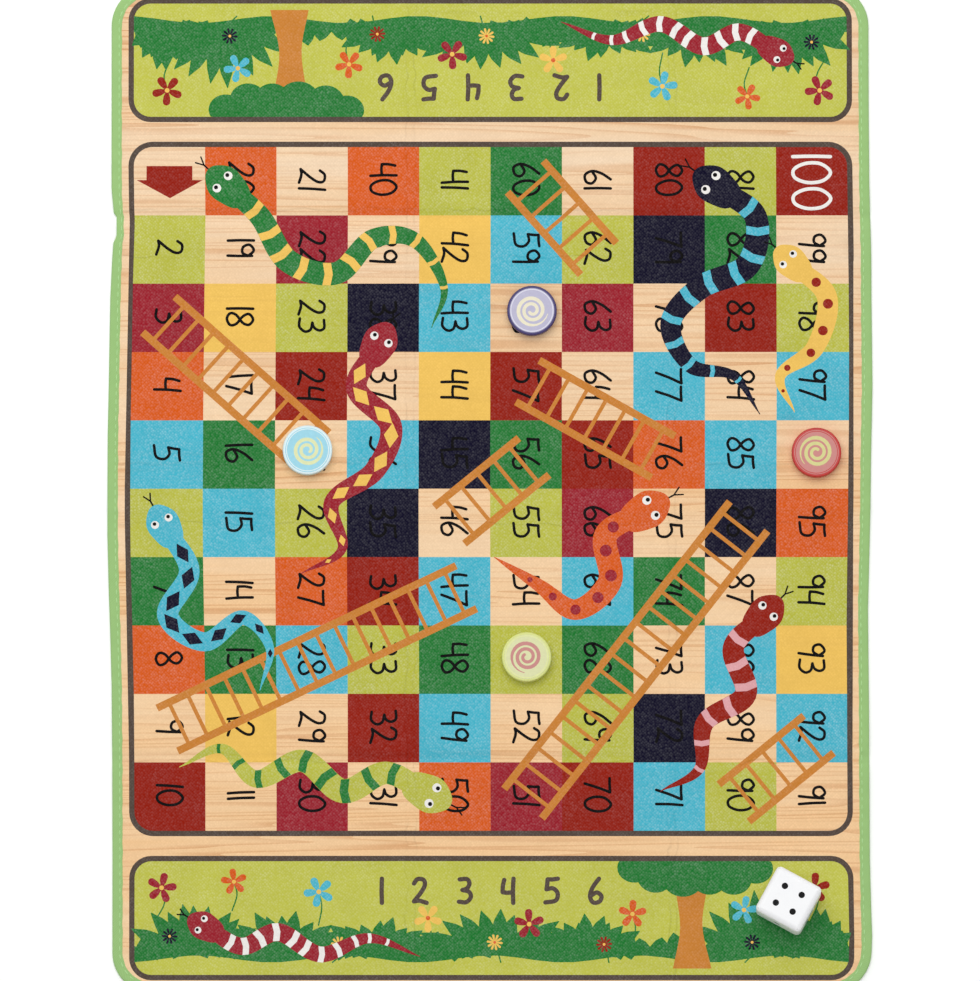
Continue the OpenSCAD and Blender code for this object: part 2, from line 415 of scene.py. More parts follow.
# one pen stroke each, on a height of 1
digitStrokes = {
    "0": [
        [
            (0.27, 1), (0.06, 0.74), (0.05, 0.34), (0.2, 0.03), (0.41, 0.06), (0.53, 0.4), (0.48, 0.8),
            (0.27, 1)]
    ],
    "1": [[(0.07, 1), (0.06, 0.5), (0.07, 0)]],
    "2": [
        [(0.03, 0.8), (0.16, 0.98), (0.38, 0.95), (0.43, 0.74), (0.3, 0.45), (0.03, 0.06)],
        [(0.03, 0.06), (0.22, 0.09), (0.5, 0)]],
    "3": [[(0.06, 0.97), (0.33, 0.98), (0.42, 0.8), (0.33, 0.6), (0.16, 0.53)], [
        (0.16, 0.53), (0.4, 0.46), (0.47, 0.24), (0.3, 0.03), (0.03, 0.05)]],
    "4": [
        [(0.08, 0.95), (0.03, 0.7), (0.02, 0.44)], [(0.02, 0.44), (0.2, 0.42), (0.4, 0.44)],
        [(0.42, 1), (0.4, 0.5), (0.41, 0)]],
    "5": [
        [(0.1, 0.97), (0.09, 0.78), (0.06, 0.56)],
        [(0.06, 0.56), (0.3, 0.6), (0.47, 0.4), (0.4, 0.1), (0.02, 0.02)],
        [(0.1, 0.97), (0.28, 0.97), (0.48, 1)]],
    "6": [
        [
            (0.36, 1), (0.14, 0.66), (0.03, 0.3), (0.14, 0.02), (0.38, 0.06), (0.45, 0.28), (0.28, 0.43),
            (0.06, 0.3)]
    ],
    "7": [[(0.02, 0.95), (0.26, 0.95), (0.5, 0.97)], [(0.5, 0.97), (0.34, 0.5), (0.2, 0)]],
    "8": [
        [
            (0.43, 0.84), (0.25, 1), (0.06, 0.84), (0.15, 0.6), (0.4, 0.36), (0.44, 0.12), (0.22, 0),
            (0.04, 0.13), (0.1, 0.36), (0.36, 0.6), (0.43, 0.84)]
    ],
    "9": [
        [(0.42, 0.78), (0.24, 1), (0.04, 0.84), (0.1, 0.6), (0.3, 0.57), (0.42, 0.8)],
        [(0.42, 0.94), (0.41, 0.5), (0.38, 0)]],
}


def printNumber(ink, text, cx, cy, height, pen, turn, gap, wide, sway=None):
    widths = [max(x for stroke in digitStrokes[c] for x, y in stroke) for c in text]
    start = -(sum(widths) + gap * (len(text) - 1)) / 2
    for c, width in zip(text, widths):
        lean = sway.uniform(-0.07, 0.07) if sway else 0
        for stroke in digitStrokes[c]:
            path = curveThrough(stroke, 5)
            u = (start + path[:, 0] + lean * (path[:, 1] - 0.5)) * height * wide
            v = (path[:, 1] - 0.5) * height
            x = cx + u * math.cos(turn) - v * math.sin(turn)
            y = cy + u * math.sin(turn) + v * math.cos(turn)
            printShape(ink, ribbon(np.column_stack([x, y]), pen))
        start += width + gap


field = {
    "halfX": 353.0, "halfY": 339.3, "squares": 10, "line": 5.3, "cornerRadius": 24.0,
    "numberHeight": 25.8, "numberWide": 1.12, "pen": 2.8, "lastNumberHeight": 37.5, "lastPen": 3.4,
    "inkShares": {
        "wood": 27, "sky": 15, "lime": 16, "red": 10, "green": 9, "crimson": 7, "amber": 7, "orange": 6,
        "navy": 6},
    "numberGap": 0.12, "lastWide": 1.06, "numberRise": 2,
    "arrow": [(-22.7, 15), (22.7, 15), (22.7, 1), (33, 1), (0.4, -17), (-32.5, 1), (-22.7, 1)],
    "seed": 149003, "handSeed": 5,
}


def printFrame(look, ground):
    # a panel with round corners in a line; gives the radius inside the line
    line, inner = look["line"], look["cornerRadius"] - look["line"]
    printShape("line", roundedBox(0, 0, look["halfX"] + line, look["halfY"] + line, look["cornerRadius"]))
    printShape(ground, roundedBox(0, 0, look["halfX"], look["halfY"], inner))
    return inner


innerRadius = printFrame(field, "wood")
draw = random.Random(field["seed"])
count = field["squares"]
squareX, squareY = 2 * field["halfX"] / count, 2 * field["halfY"] / count


def squareCentre(column, row):
    return -field["halfX"] + squareX * (column + 0.5), field["halfY"] - squareY * (row + 0.5)


chosen = {}
for column in range(count):
    for row in range(count):
        beside = {chosen.get((column - 1, row)), chosen.get((column, row - 1))}
        choice = [(ink, share) for ink, share in field["inkShares"].items() if ink not in beside]
        ink = draw.choices([c[0] for c in choice], [c[1] for c in choice])[0]
        ink = {(0, 0): "wood", (count - 1, 0): "red"}.get((column, row), ink)
        chosen[column, row] = ink
        corner = {
            (count - 1, 0): 0, (0, 0): 1, (0, count - 1): 2, (count - 1, count - 1): 3}.get((column, row))
        cx, cy = squareCentre(column, row)
        if ink != "wood":
            radii = [innerRadius if k == corner else 0 for k in range(4)]
            printShape(ink, roundedBox(cx, cy, squareX / 2, squareY / 2, radii))
hand = random.Random(field["handSeed"])
down = -math.pi / 2
for column in range(count):
    for row in range(count):
        number = count * column + (row + 1 if column % 2 == 0 else count - row)
        cx, cy = squareCentre(column, row)
        if number == 1:  # the start, a block arrow
            printShape("red", [(cx + x, cy + y) for x, y in field["arrow"]])
        elif number == count * count:
            size = (field["lastNumberHeight"], field["lastPen"], down, field["numberGap"], field["lastWide"])
            printNumber("white", str(number), cx, cy, *size)
        else:
            size = (field["numberHeight"], field["pen"], down, field["numberGap"], field["numberWide"])
            printNumber("black", str(number), cx, cy + field["numberRise"], *size, sway=hand)

ladder = {
    "width": 54.6, "rail": 7.4, "rung": 3.9, "rungPitch": 20.0, "railEnd": 13.0,
    "ends": [
        ((-327.1, 173.0), (-174.5, 37.9)), ((34.5, 309.9), (106.7, 228.0)), ((36.7, 106.8), (170.7, 31.6)),
        ((43.2, 32.0), (-40.4, -36.3)), ((255.0, -27.4), (32.0, -312.4)), ((-23.6, -97.7), (-319.9, -239.0)),
        ((324.5, -243.6), (240.3, -311.8))],
}
for start, end in ladder["ends"]:
    start, end = np.array(start), np.array(end)
    length = np.linalg.norm(end - start)
    along = (end - start) / length
    across = np.array([-along[1], along[0]]) * (ladder["width"] - ladder["rail"]) / 2
    rungs = max(3, round((length - 2 * ladder["railEnd"]) / ladder["rungPitch"]) + 1)
    for step in np.linspace(ladder["railEnd"], length - ladder["railEnd"], rungs):
        middle = start + along * step
        printShape("ladder", ribbon([middle - across, middle + across], ladder["rung"], False))
    for side in (-1, 1):
        printShape("ladder", ribbon([start + side * across, end + side * across], ladder["rail"], False))


# shares of a snake's width: its head and its marks, along and across
snakeParts = {
    "head": [
        (1.25, 0), (1.1, 0.36), (0.55, 0.74), (-0.1, 0.72), (-0.8, 0.42), (-0.8, -0.42), (-0.1, -0.72),
        (0.55, -0.74), (1.1, -0.36)],
    "bands": [(-1, -1), (1, -1), (1.5, 0), (1, 1), (-1, 1), (-0.5, 0)],
    "diamonds": [(1, 0), (0, 1), (-1, 0), (0, -1)],
    "neck": 0.82, "swell": 0.18, "taperFrom": 0.62, "taper": 0.38, "taperPower": 0.8, "tailTip": 0.02,
}


def printSnake(points, width, body, marks, markKind, markPitch=26.0):
    # head at the first point, tail at the last: a plain tapered band with simple marks
    path = curveThrough(points, 14)
    steps = lengthsAlong(path)
    share = steps / steps[-1]
    neck, taperFrom = snakeParts["neck"], snakeParts["taperFrom"]
    belly = neck + snakeParts["swell"] * np.sin(share / taperFrom * math.pi)
    tail = neck * np.clip(
        (1 - share) / snakeParts["taper"], snakeParts["tailTip"], 1) ** snakeParts["taperPower"]
    widths = width * np.where(share < taperFrom, belly, tail)
    along, across = headings(path)
    nose = -along[0]
    side = np.array([-nose[1], nose[0]])
    tongue = path[0] + nose * width * 1.5
    printShape("black", ribbon([path[0] + nose * width, tongue], 1.7))
    for fork in (-0.5, 0.5):
        printShape("black", ribbon([tongue, tongue + (nose + side * fork) * width * 0.34], 1.5))
    printShape(body, ribbon(path, widths))
    head = np.array([path[0] + width * (a * nose + b * side) for a, b in snakeParts["head"]])
    printShape(body, curveThrough(np.vstack([head, head[:1]]), 4)[:-1])
    for fork in (-0.36, 0.36):
        eye = path[0] + width * (0.42 * nose + fork * side)
        printShape("white", oval(*eye, width * 0.19, width * 0.19, 14))
        printShape("black", oval(*(eye + 0.05 * width * nose), width * 0.09, width * 0.09, 10))
    for at in np.arange(width * 1.3, steps[-1] * 0.9, markPitch):
        k = int(np.searchsorted(steps, at))
        half = widths[k] / 2
        if markKind == "bands":
            reach = max(1.5, half * 0.36)
            forward, aside = reach * along[k], half * 0.985 * across[k]
            outline = [path[k] + a * forward + b * aside for a, b in snakeParts["bands"]]
        elif markKind == "diamonds":
            forward, aside = half * 1.15 * along[k], half * 0.66 * across[k]
            outline = [path[k] + a * forward + b * aside for a, b in snakeParts["diamonds"]]
        else:
            outline = oval(*path[k], half * 0.5, half * 0.5, 14)
        printShape(marks, outline)


snakes = [
    (
        [(-258, 298), (-228, 270), (-200, 226), (-152, 214), (-116, 248), (-74, 246), (-46, 200), (-58, 160)],
        23, "green", "amber", "bands"),
    (
        [(-112, 140), (-132, 100), (-98, 62), (-114, 18), (-156, -14), (-146, -60), (-186, -84)], 22,
        "crimson", "amber", "diamonds"),
    (
        [(226, 298), (262, 270), (254, 222), (208, 200), (178, 164), (198, 122), (240, 112), (266, 74)], 24,
        "navy", "sky", "bands"),
    (
        [(-318, -40), (-296, -82), (-318, -126), (-282, -152), (-244, -128), (-218, -158), (-228, -200)], 21,
        "sky", "navy", "diamonds"),
    ([(300, 222), (332, 190), (320, 140), (286, 112), (300, 76)], 20, "amber", "red", "dots"),
    ([(150, -24), (114, -46), (118, -92), (84, -120), (48, -96), (4, -68)], 24, "orange", "crimson", "dots"),
    (
        [(-66, -300), (-104, -282), (-146, -300), (-186, -270), (-232, -288), (-266, -258), (-308, -276)],
        24, "lime", "green", "bands"),
    (
        [(268, -128), (240, -158), (252, -204), (212, -232), (206, -278), (168, -300)], 22, "red", "rose",
        "bands"),
]
for points, width, body, marks, markKind in snakes:
    printSnake(points, width, body, marks, markKind)
print("playing field drawn,", len(shapes), "shapes")

banner = {
    "centreY": 425.7, "halfX": 353.0, "halfY": 56.3, "line": 5.3, "cornerRadius": 22.0,
    "numbers": "123456", "numberHeight": 24.0, "pen": 4.4, "numberAt": (0, 27), "numberGap": 1.15,
    "numberWide": 1.12,
    "ground": -37, "hedgeEnds": (-353, 353), "hedgeLeaves": 40, "hedgeHeight": 20,
    # place, reach, height
    "clumps": [
        (-292, 50, 54), (-204, 46, 46), (-112, 50, 38), (8, 60, 44), (96, 40, 38), (264, 52, 60),
        (322, 24, 46)],
    "leafWidth": 20.0, "leavesPerClump": 9,
    "canopy": [
        (142, 50, 17, 15), (163, 43, 19, 18), (190, 38, 20, 17), (216, 42, 19, 19), (240, 39, 18, 16),
        (262, 49, 17, 15), (202, 52, 60, 14)],
    "trunk": [(180, -50), (187, -10), (182, 32), (214, 32), (209, -8), (218, -50)],
    "flowers": [
        (-326, 30, 15, "crimson"), (-254, 36, 13, "orange"), (-318, -18, 9, "navy"), (-170, 26, 15, "sky"),
        (-150, -26, 9, "amber"), (38, -6, 15, "crimson"), (140, 4, 14, "orange"), (250, 8, 14, "sky"),
        (258, -24, 9, "navy"), (320, 30, 15, "red"), (-62, 0, 14, "amber"), (112, -26, 9, "red"),
        (4, -24, 9, "amber")],
    "snake": (
        [(-280, -10), (-246, -28), (-210, -14), (-168, -36), (-120, -20), (-70, -38)], 18, "crimson",
        "white", "bands"),
    "snakeMarkPitch": 17.0, "seed": 4,
}


def printBanner(turn):
    firstShape = len(shapes)
    printFrame(banner, "meadow")
    vary = random.Random(banner["seed"])
    ground = banner["ground"]
    # a low hedge and fans of pointed leaves on one strip of ground
    left, right = banner["hedgeEnds"]
    strip = [(x, ground - 7 * math.sin(x / 46.0) ** 2) for x in np.linspace(right, left, 40)]
    printShape("green", [(left, ground + 9), (right, ground + 9)] + strip)
    leaves = []
    for u in np.linspace(left + 12, right - 12, banner["hedgeLeaves"]):
        leaves.append((u, u + vary.uniform(-11, 11), banner["hedgeHeight"] * vary.uniform(0.75, 1.25), 0))
    for u, reach, height in banner["clumps"]:
        for t in np.linspace(-1, 1, banner["leavesPerClump"]):
            rise = height * (1 - 0.42 * abs(t) ** 1.4) * vary.uniform(0.84, 1.1)
            leaves.append((
                u + 0.62 * reach * t, u + 1.25 * reach * t + vary.uniform(-4, 4), rise, 0.12 * reach * t))
    for foot, tip, rise, bend in leaves:
        blade = curveThrough(
            [(foot, ground), ((foot + tip) / 2 - bend, ground + rise * 0.55), (tip, ground + rise)], 6)
        girth = np.interp(np.linspace(0, 1, len(blade)), [0, 0.35, 0.75, 1], [0.9, 1, 0.55, 0.03])
        printShape("green", ribbon(blade, banner["leafWidth"] * girth, False))
    left, right = banner["trunk"][:3], banner["trunk"][3:]
    printShape("ladder", np.vstack([curveThrough(left, 5), curveThrough(right, 5)]))
    for u, v, reach, rise in banner["canopy"]:
        leaf = oval(u, v, reach, rise, 26)
        leaf[:, 1] = np.minimum(leaf[:, 1], banner["halfY"])
        printShape("green", leaf)
    for u, v, radius, ink in banner["flowers"]:
        twist = vary.uniform(0, math.pi)
        foot = (u + vary.uniform(-8, 8), max(-44, v - radius * 2.2))
        printShape("green", ribbon(curveThrough([(u, v), (u + 3, v - radius), foot], 4), 1.4))
        petals = 5 if radius > 10 else 10
        for petal in range(petals):
            a = twist + petal * 2 * math.pi / petals
            way = radius * np.array([math.cos(a), math.sin(a)])
            middle = [(u, v) + way * out for out in (0.12, 0.45, 0.76)]
            printShape(ink, ribbon(middle, np.array([0.2, 0.44, 0.5]) * radius * 5 / petals))
        printShape("amber" if ink != "amber" else "orange", oval(u, v, radius * 0.16, radius * 0.16, 10))
    printSnake(*banner["snake"], banner["snakeMarkPitch"])
    size = (banner["numberHeight"], banner["pen"], 0, banner["numberGap"], banner["numberWide"])
    printNumber("line", banner["numbers"], *banner["numberAt"], *size)
    for k in range(firstShape, len(shapes)):
        ink, outline = shapes[k]
        shapes[k] = (ink, outline * turn + np.array([0, -banner["centreY"] * turn]))


printBanner(1)
printBanner(-1)
print("banners drawn,", len(shapes), "shapes in all")


# the sheets

def insideOutline(points, outline):
    # winding number, so that a stroke may cross itself
    x, y = points[:, 0], points[:, 1]
    winding = np.zeros(len(points), int)
    for (ax, ay), (bx, by) in zip(outline, np.roll(outline, -1, axis=0)):
        side = (bx - ax) * (y - ay) - (by - ay) * (x - ax)
        winding += (ay <= y) & (by > y) & (side > 0)
        winding -= (ay > y) & (by <= y) & (side < 0)
    return winding != 0


def triangulate(outlines, lines, looseGrid, sliver=1e-6):
    # all outlines and lines cut each other, and loose points keep the triangles small; all face up
    points, edges = [], []
    for outline in outlines:
        first = len(points)
        points += [Vector(p) for p in outline]
        edges += [(first + k, first + (k + 1) % len(outline)) for k in range(len(outline))]
    for line in lines:
        first = len(points)
        points += [Vector(p) for p in line]
        edges += [(first + k, first + k + 1) for k in range(len(line) - 1)]
    points += [Vector(p) for p in looseGrid]
    result = delaunay_2d_cdt(points, edges, [], 0, 1e-4)
    flat, triangles = np.array([tuple(p) for p in result[0]]), np.array([tuple(f) for f in result[2]])
    a, b, c = (flat[triangles[:, k]] for k in range(3))
    area = np.cross(b - a, c - a)
    triangles[area < 0] = triangles[area < 0][:, ::-1]
    return flat, triangles[np.abs(area) > sliver]


def spaced(line, step=8.0, closed=False):
    # the same line or outline with points no further apart than the step
    line = np.vstack([line, line[:1]]) if closed else np.array(line, float)
    parts = []
    for a, b in zip(line, line[1:]):
        count = max(1, math.ceil(np.linalg.norm(b - a) / step))
        parts.append(a + (b - a) * np.linspace(0, 1, count, endpoint=False)[:, None])
    return np.vstack(parts if closed else parts + [line[-1:]])


def inkOf(centres, drawn):
    found = np.zeros(len(centres), np.int32)
    for ink, outline in drawn:
        low, high = outline.min(0), outline.max(0)
        near = np.where(((centres >= low) & (centres <= high)).all(1))[0]
        if len(near):
            found[near[insideOutline(centres[near], outline)]] = inkNames.index(ink)
    return found


def closedSheet(name, flat, triangles, zTop, zLow, materials, topInk, lowInk, deform=True):
    # upper and lower skin and the rim round them; flat is in metres
    count = len(flat)
    directed = np.vstack([triangles[:, [0, 1]], triangles[:, [1, 2]], triangles[:, [2, 0]]])
    where, uses = np.unique(np.sort(directed, axis=1), axis=0, return_index=True, return_counts=True)[1:]
    rim = directed[where[uses == 1]]
    points = np.vstack([np.column_stack([flat, np.broadcast_to(z, count)]) for z in (zTop, zLow)])
    faces = triangles.tolist() + (triangles[:, ::-1] + count).tolist()
    faces += [(b, a, a + count, b + count) for a, b in rim.tolist()]
    inksOfFaces = np.concatenate([topInk, np.full(len(triangles) + len(rim), lowInk)])
    piece = newPiece(name, layDown(points) if deform else points, faces, materials, inksOfFaces)
    keepFlatPlace(piece, points)
    return piece


# where the sides of a sheet start on its map, and how far they reach
bakeLayout = {"across": (0.004, 0.992), "printed": (0.05, 0.945), "rest": (0.004, 0.036)}


def bakeMap(piece, sheetBox):
    # the printed side takes the whole of the map but for a strip
    (lowX, lowY), (highX, highY) = sheetBox
    layer = piece.data.uv_layers.new(name="OFBake")
    place = np.zeros(len(piece.data.vertices) * 3, np.float32)
    piece.data.attributes["flatPlace"].data.foreach_get("vector", place)
    place = place.reshape(-1, 3)
    corners = np.zeros(len(piece.data.loops), np.int32)
    piece.data.loops.foreach_get("vertex_index", corners)
    polygons = piece.data.polygons
    up = np.repeat([p.normal.z > 0.5 for p in polygons], [p.loop_total for p in polygons])
    u = (place[corners, 0] - lowX) / (highX - lowX)
    v = (place[corners, 1] - lowY) / (highY - lowY)
    across, printed, rest = (bakeLayout[part] for part in ("across", "printed", "rest"))
    v = np.where(up, printed[0] + printed[1] * v, rest[0] + rest[1] * v)
    layer.data.foreach_set("uv", np.column_stack([across[0] + across[1] * u, v]).astype(np.float32).ravel())


def halfSheet(flat, triangles, upper):
    centre = flat[triangles].mean(1)[:, 1]
    kept = np.where(centre > 0 if upper else centre < 0)[0]
    used, renumbered = np.unique(triangles[kept], return_inverse=True)
    return flat[used], renumbered.reshape(-1, 3), kept


def bendWithFold(piece):
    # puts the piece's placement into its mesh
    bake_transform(piece)


bendRows = [-9, -5.5, -3, -2, -1, 0, 1, 2, 3, 4, 5, 6, 7, 8, 11]  # mm from the crease, towards the flap
edgeMm = (halfWidth / mm, halfLength / mm)
cornerMm = 40.0
clothInset = clothEdge / mm


def matOutline(inset, steps):
    box = roundedBox(0, 0, edgeMm[0] - inset, edgeMm[1] - inset, cornerMm - inset, steps)
    return spaced(box, closed=True)


clothOutline = matOutline(clothInset, 14)
# rows of points along the creases, so that the sheet bends cleanly there
ridgeRows = (-9, -4, 0, 4, 9)
rowsAt = {"x": set(), "y": {0.0} | {side * (crease / mm + row) for side in (-1, 1) for row in bendRows}}
for axis, at, height in lay["ridges"]:
    rowsAt[axis] |= {at / mm + row for row in ridgeRows}
reachX, reachY = edgeMm[0] - clothInset, edgeMm[1] - clothInset
crossLines = [spaced([(-reachX, y), (reachX, y)]) for y in sorted(rowsAt["y"])]
crossLines += [spaced([(x, -reachY), (x, reachY)]) for x in sorted(rowsAt["x"])]
gridStep, gridX, gridY = 11.0, (-368, 363), (-493, 494)  # mm
grid = []
for k, y in enumerate(np.arange(*gridY, gridStep)):
    grid += [(x + (gridStep / 2 if k % 2 else 0), y) for x in np.arange(*gridX, gridStep)]
grid = [p for p, inside in zip(grid, insideOutline(np.array(grid), clothOutline)) if inside]

flatMm, triangles = triangulate([clothOutline] + [outline for ink, outline in shapes], crossLines, grid)
topInks = inkOf(flatMm[triangles].mean(1), shapes)
halves = ((True, "upper"), (False, "lower"))
clothPieces = []
for upper, half in halves:
    flat, faces, kept = halfSheet(flatMm * mm, triangles, upper)
    name, inked, ground = "printed_cloth_" + half, list(inks.values()), inkNames.index("wood")
    piece = closedSheet(name, flat, faces, clothTop, clothLow, inked, topInks[kept], ground)
    bakeMap(piece, (flat.min(0), flat.max(0)))
    clothPieces.append(piece)
    print(piece.name, len(piece.data.polygons), "faces")
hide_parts("cloth_middle", "cloth_top")
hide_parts("cloth_bottom")


# the backing: a dense grey felt with non-slip dots, pressed thin under the tape

backingLook = {
    "fibre": 2.4, "cloud": 45.0, "dotPitch": 6.0, "dot": 2.6, "depth": 0.3, "underCloth": 0.25,  # mm
    "colour": "#7F7C76", "light": "#9D9A93", "dotColour": "#6A6863",
}


def feltBacking():
    # needled polyester felt: matt and mottled, with staggered rows of printed rubber dots that stand
    # up a little
    material, tree = newMaterial("needledFeltBacking")
    place = flatMillimetres(tree)
    fibres = addNode(tree, "TexNoise", {
        "Vector": place, "Scale": 1 / backingLook["fibre"], "Detail": 5, "Roughness": 0.7, "Distortion": 1.5})
    cloud = addNode(tree, "TexNoise", {"Vector": place, "Scale": 1 / backingLook["cloud"], "Detail": 3})
    matted = addNode(tree, "Mix", {0: 0.4, 2: fibres, 3: cloud}, data_type="FLOAT")
    tone = addNode(tree, "MapRange", {"Value": matted, "From Min": 0.36, "From Max": 0.64})
    wool = addNode(
        tree, "Mix", {0: tone, 6: linear(backingLook["colour"]), 7: linear(backingLook["light"])},
        data_type="RGBA")
    staggered = addNode(tree, "Mapping", {"Vector": place, "Rotation": (0, 0, math.radians(45))})
    rows = addNode(
        tree, "TexVoronoi", {"Vector": staggered, "Scale": 1 / backingLook["dotPitch"], "Randomness": 0},
        voronoi_dimensions="2D")
    dotEdge = backingLook["dot"] / 2 / backingLook["dotPitch"]
    dots = addNode(tree, "MapRange", {
        "Value": rows.outputs["Distance"], "From Min": 0.7 * dotEdge, "From Max": 1.2 * dotEdge, "To Min": 1,
        "To Max": 0})
    colour = addNode(tree, "Mix", {0: dots, 6: wool, 7: linear(backingLook["dotColour"])}, data_type="RGBA")
    height = addNode(tree, "Math", {0: dots, 1: fibres}, operation="ADD")
    bump = addNode(tree, "Bump", {"Height": height, "Strength": 0.6, "Distance": backingLook["depth"] * mm})
    finishMaterial(tree, {
        "Base Color": colour, "Normal": bump, "Roughness": 0.92, "Specular IOR Level": 0.15})
    return material


tapeWidth = 10.0  # mm on each face
tapeThick = (tapeTop - clothTop) / mm
felt = feltBacking()
# the felt steps up over the tape between these two lines
pressedLine, pressedEdge = matOutline(tapeWidth + 0.1, 12), matOutline(tapeWidth - 0.3, 12)
feltMm, feltTriangles = triangulate([clothOutline, pressedLine, pressedEdge], crossLines, grid)
backingPieces = []
for upper, half in halves:
    flat, faces = halfSheet(feltMm * mm, feltTriangles, upper)[:2]
    thick = insideOutline(flat / mm, pressedLine * 1.00001)
    under, over = np.where(thick, 0, tapeThick * mm), clothLow - backingLook["underCloth"] * mm
    piece = closedSheet("backing_" + half, flat, faces, over, under, [felt], np.zeros(len(faces)), 0)
    backingPieces.append(piece)
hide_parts("backing_middle", "backing_top")
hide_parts("backing_bottom")
print("backing cut")


# the edge tape and its stitches

tape = {
    # mm, ribs and fading
    "colour": "#A7CE87", "shade": "#95BE76", "rib": 1.3, "ribDepth": 0.08, "blotch": 14.0,
    "step": 4.0, "pucker": 0.16, "puckerPitch": 13.6, "tremor": (0.1, 0.9),  # mm, and turns for each mm
    "sag": 0.35, "sagTurns": (0.083, 0.31),
    "seam": 7.4,  # mm from the mat's edge
}
stitch = {
    "pitch": 8.2, "length": 5.7, "thread": 1.15, "height": 3.02, "segments": 8, "rings": 5,
    "colour": "#C6ECAE", "shade": "#A6D389", "seed": 3,
}


def bindingTape():
    # woven cotton bias tape: fine ribs along it, matt, paler where the weave stands up
    material, tree = newMaterial("cottonBindingTape")
    place = flatMillimetres(tree)
    ribs = addNode(
        tree, "TexWave",
        {"Vector": place, "Scale": 2 * math.pi / (20 * tape["rib"]), "Distortion": 0.8, "Detail": 2},
        bands_direction="DIAGONAL")
    blotch = addNode(tree, "TexNoise", {"Vector": place, "Scale": 1 / tape["blotch"], "Detail": 3})
    factor = addNode(tree, "Mix", {0: 0.55, 2: ribs.outputs["Fac"], 3: blotch}, data_type="FLOAT")
    colour = addNode(
        tree, "Mix", {0: factor, 6: linear(tape["shade"]), 7: linear(tape["colour"])}, data_type="RGBA")
    bump = addNode(tree, "Bump", {
        "Height": ribs.outputs["Fac"], "Strength": 0.5, "Distance": tape["ribDepth"] * mm})
    finishMaterial(tree, {
        "Base Color": colour, "Normal": bump, "Roughness": 0.85, "Specular IOR Level": 0.15,
        "Sheen Weight": 0.05,
    })
    return material


def edgeRun(upper, inset, step):
    # half of the mat's edge, from its middle on one side round the end to the other, in mm
    # and the way inwards at each point
    a, b, r = edgeMm[0], edgeMm[1], cornerMm
    rows = sorted(set(np.arange(0, b - r, step)) | {crease / mm + row for row in bendRows})
    run = [((a, y), (-1, 0)) for y in rows]
    for t in np.linspace(0, math.pi / 2, 15):
        run.append(((a - r + r * math.cos(t), b - r + r * math.sin(t)), (-math.cos(t), -math.sin(t))))
    run += [((x, b), (0, -1)) for x in np.arange(a - r - step, 0, -step)]
    run += [((-x, y), (-nx, ny)) for (x, y), (nx, ny) in run[::-1] if x > 1e-6]
    points = np.array([p for p, n in run])
    inwards = np.array([n for p, n in run])
    if not upper:
        points, inwards = -points, -inwards
    return points + inwards * inset, inwards


profile = [
    (10.0, 2.6), (10.08, 2.84), (9.8, 3.04), (8.7, 3.13), (7.4, 2.97), (6.2, 3.14), (4.2, 3.2), (2.3, 3.17),
    (1.1, 2.95), (0.35, 2.4), (0.0, 1.6), (0.35, 0.8), (1.1, 0.25), (2.3, 0.0), (6.0, 0.0), (9.8, 0.0),
    (10.0, 0.15), (10.0, 0.6), (0.7, 0.6), (0.7, 2.6)]
tapeCloth = bindingTape()
# spun polyester thread: pale, a soft gloss, faint twist
threadTones = (linear(stitch["shade"]), linear(stitch["colour"]))
threadSheen = {"Roughness": 0.6, "Specular IOR Level": 0.3, "Sheen Weight": 0.1}
thread = mottledFinish("polyesterSewingThread", threadTones, ((0.9, 0.9, 0.9), 2), (0.4, 0.1), threadSheen)
bindingPieces, stitchPieces = [], []

stitching = bpy.data.node_groups.new("edgeStitching", "GeometryNodeTree")
stitching.interface.new_socket("Seam", in_out="INPUT", socket_type="NodeSocketGeometry")
stitchSettings = {
    "Stitch pitch": ("Float", stitch["pitch"] * mm), "Stitch length": ("Float", stitch["length"] * mm),
    "Thread width": ("Float", stitch["thread"] * mm), "Seed": ("Int", stitch["seed"]),
    "Thread": ("Material", thread),
}
stitchInputs = {}
for label, (kind, value) in stitchSettings.items():
    socket = stitching.interface.new_socket(label, in_out="INPUT", socket_type="NodeSocket" + kind)
    stitchInputs[socket.identifier] = value
stitching.interface.new_socket("Stitches", in_out="OUTPUT", socket_type="NodeSocketGeometry")
sewNode = partial(addNode, stitching)
given = sewNode("NodeGroupInput")
seamCurve = sewNode("GeometryNodeMeshToCurve", {"Mesh": given.outputs["Seam"]})
places = sewNode(
    "GeometryNodeCurveToPoints", {"Curve": seamCurve, "Length": given.outputs["Stitch pitch"]}, mode="LENGTH")
oneStitch = sewNode("GeometryNodeMeshUVSphere", {
    "Segments": stitch["segments"], "Rings": stitch["rings"], "Radius": 0.5})
vary = sewNode("FunctionNodeRandomValue", {2: 0.86, 3: 1.1, "Seed": given.outputs["Seed"]}, data_type="FLOAT")
longer = sewNode("Math", {0: given.outputs["Stitch length"], 1: vary.outputs[1]}, operation="MULTIPLY")
size = sewNode("CombineXYZ", {0: given.outputs["Thread width"], 1: given.outputs["Thread width"], 2: longer})
sewn = sewNode("GeometryNodeInstanceOnPoints", {
    "Points": places.outputs["Points"], "Instance": oneStitch, "Rotation": places.outputs["Rotation"],
    "Scale": size})
real = sewNode("GeometryNodeRealizeInstances", {0: sewn})
rounded = sewNode("GeometryNodeSetShadeSmooth", {0: real})
threaded = sewNode("GeometryNodeSetMaterial", {0: rounded, "Material": given.outputs["Thread"]})
sewNode("NodeGroupOutput", {0: threaded})

